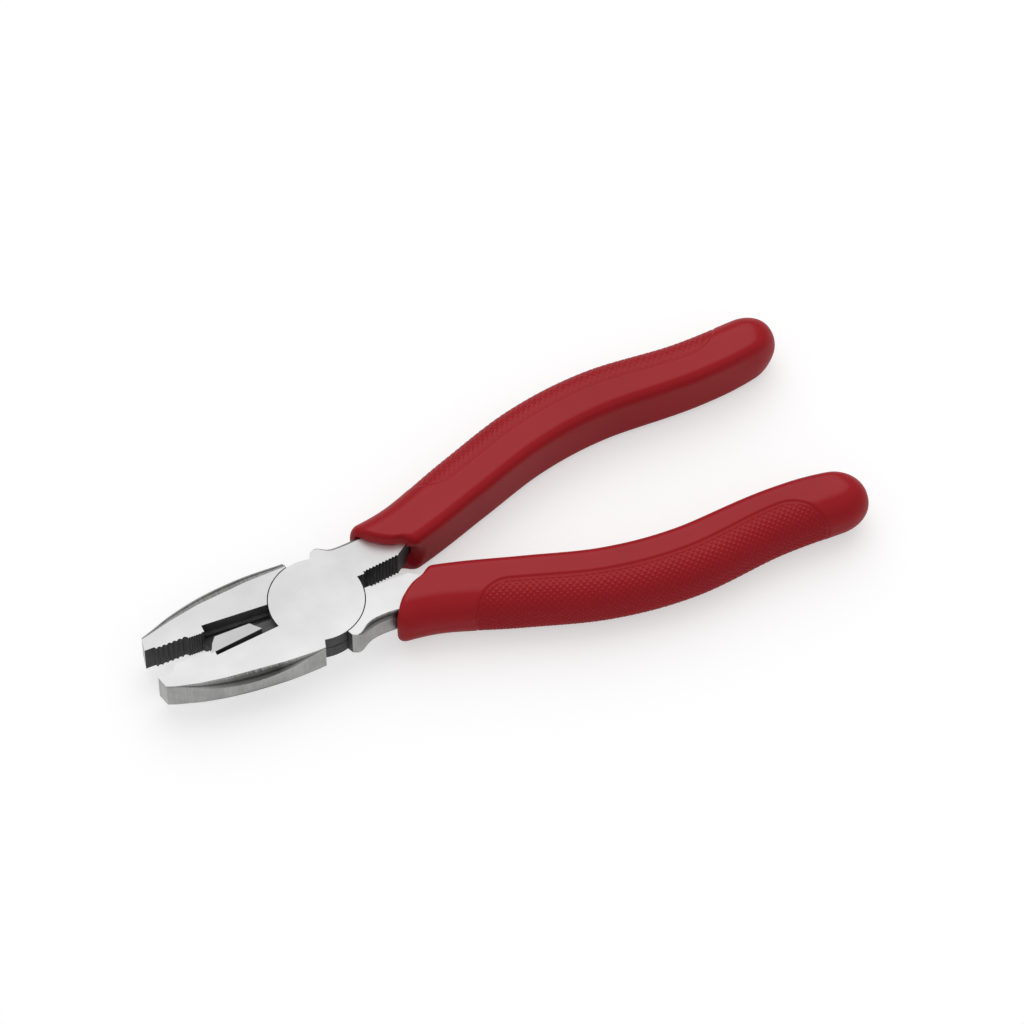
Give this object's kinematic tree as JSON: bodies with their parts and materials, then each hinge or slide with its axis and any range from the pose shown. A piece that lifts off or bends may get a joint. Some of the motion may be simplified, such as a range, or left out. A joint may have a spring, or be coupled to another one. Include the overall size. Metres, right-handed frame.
{
  "type": "combination pliers",
  "caption": "Combination pliers with flat serrated jaws, a side cutter, a riveted lap joint and red moulded vinyl grips with knurled panels.",
  "frame": {"origin": "centre of the pivot on the rear flat face of the head", "axes": "+X from the pivot towards the handles, +Y towards the handle of the front half, +Z from the head's rear face to its front face"},
  "size_m": [0.1983, 0.0756, 0.017],
  "materials": {
    "forged_steel": "drop-forged carbon steel, flat faces ground and polished, inner faces dark oxide",
    "rivet_steel": "ground flush with the head",
    "red_vinyl": "moulded plasticised vinyl, smooth with a diamond-knurled panel on the outer side"
  },
  "bodies": {
    "front": {"front_half": "forged_steel", "pivot_rivet": "rivet_steel", "upper_grip": "red_vinyl"},
    "rear": {"rear_half": "forged_steel", "lower_grip": "red_vinyl"}
  },
  "joints": [
    {"name": "jaw_pivot", "type": "hinge", "parent": "front", "child": "rear", "pos_m": [0, 0, 0.0045], "axis": [0, 0, -1], "range_deg": [-8, 28]}
  ]
}
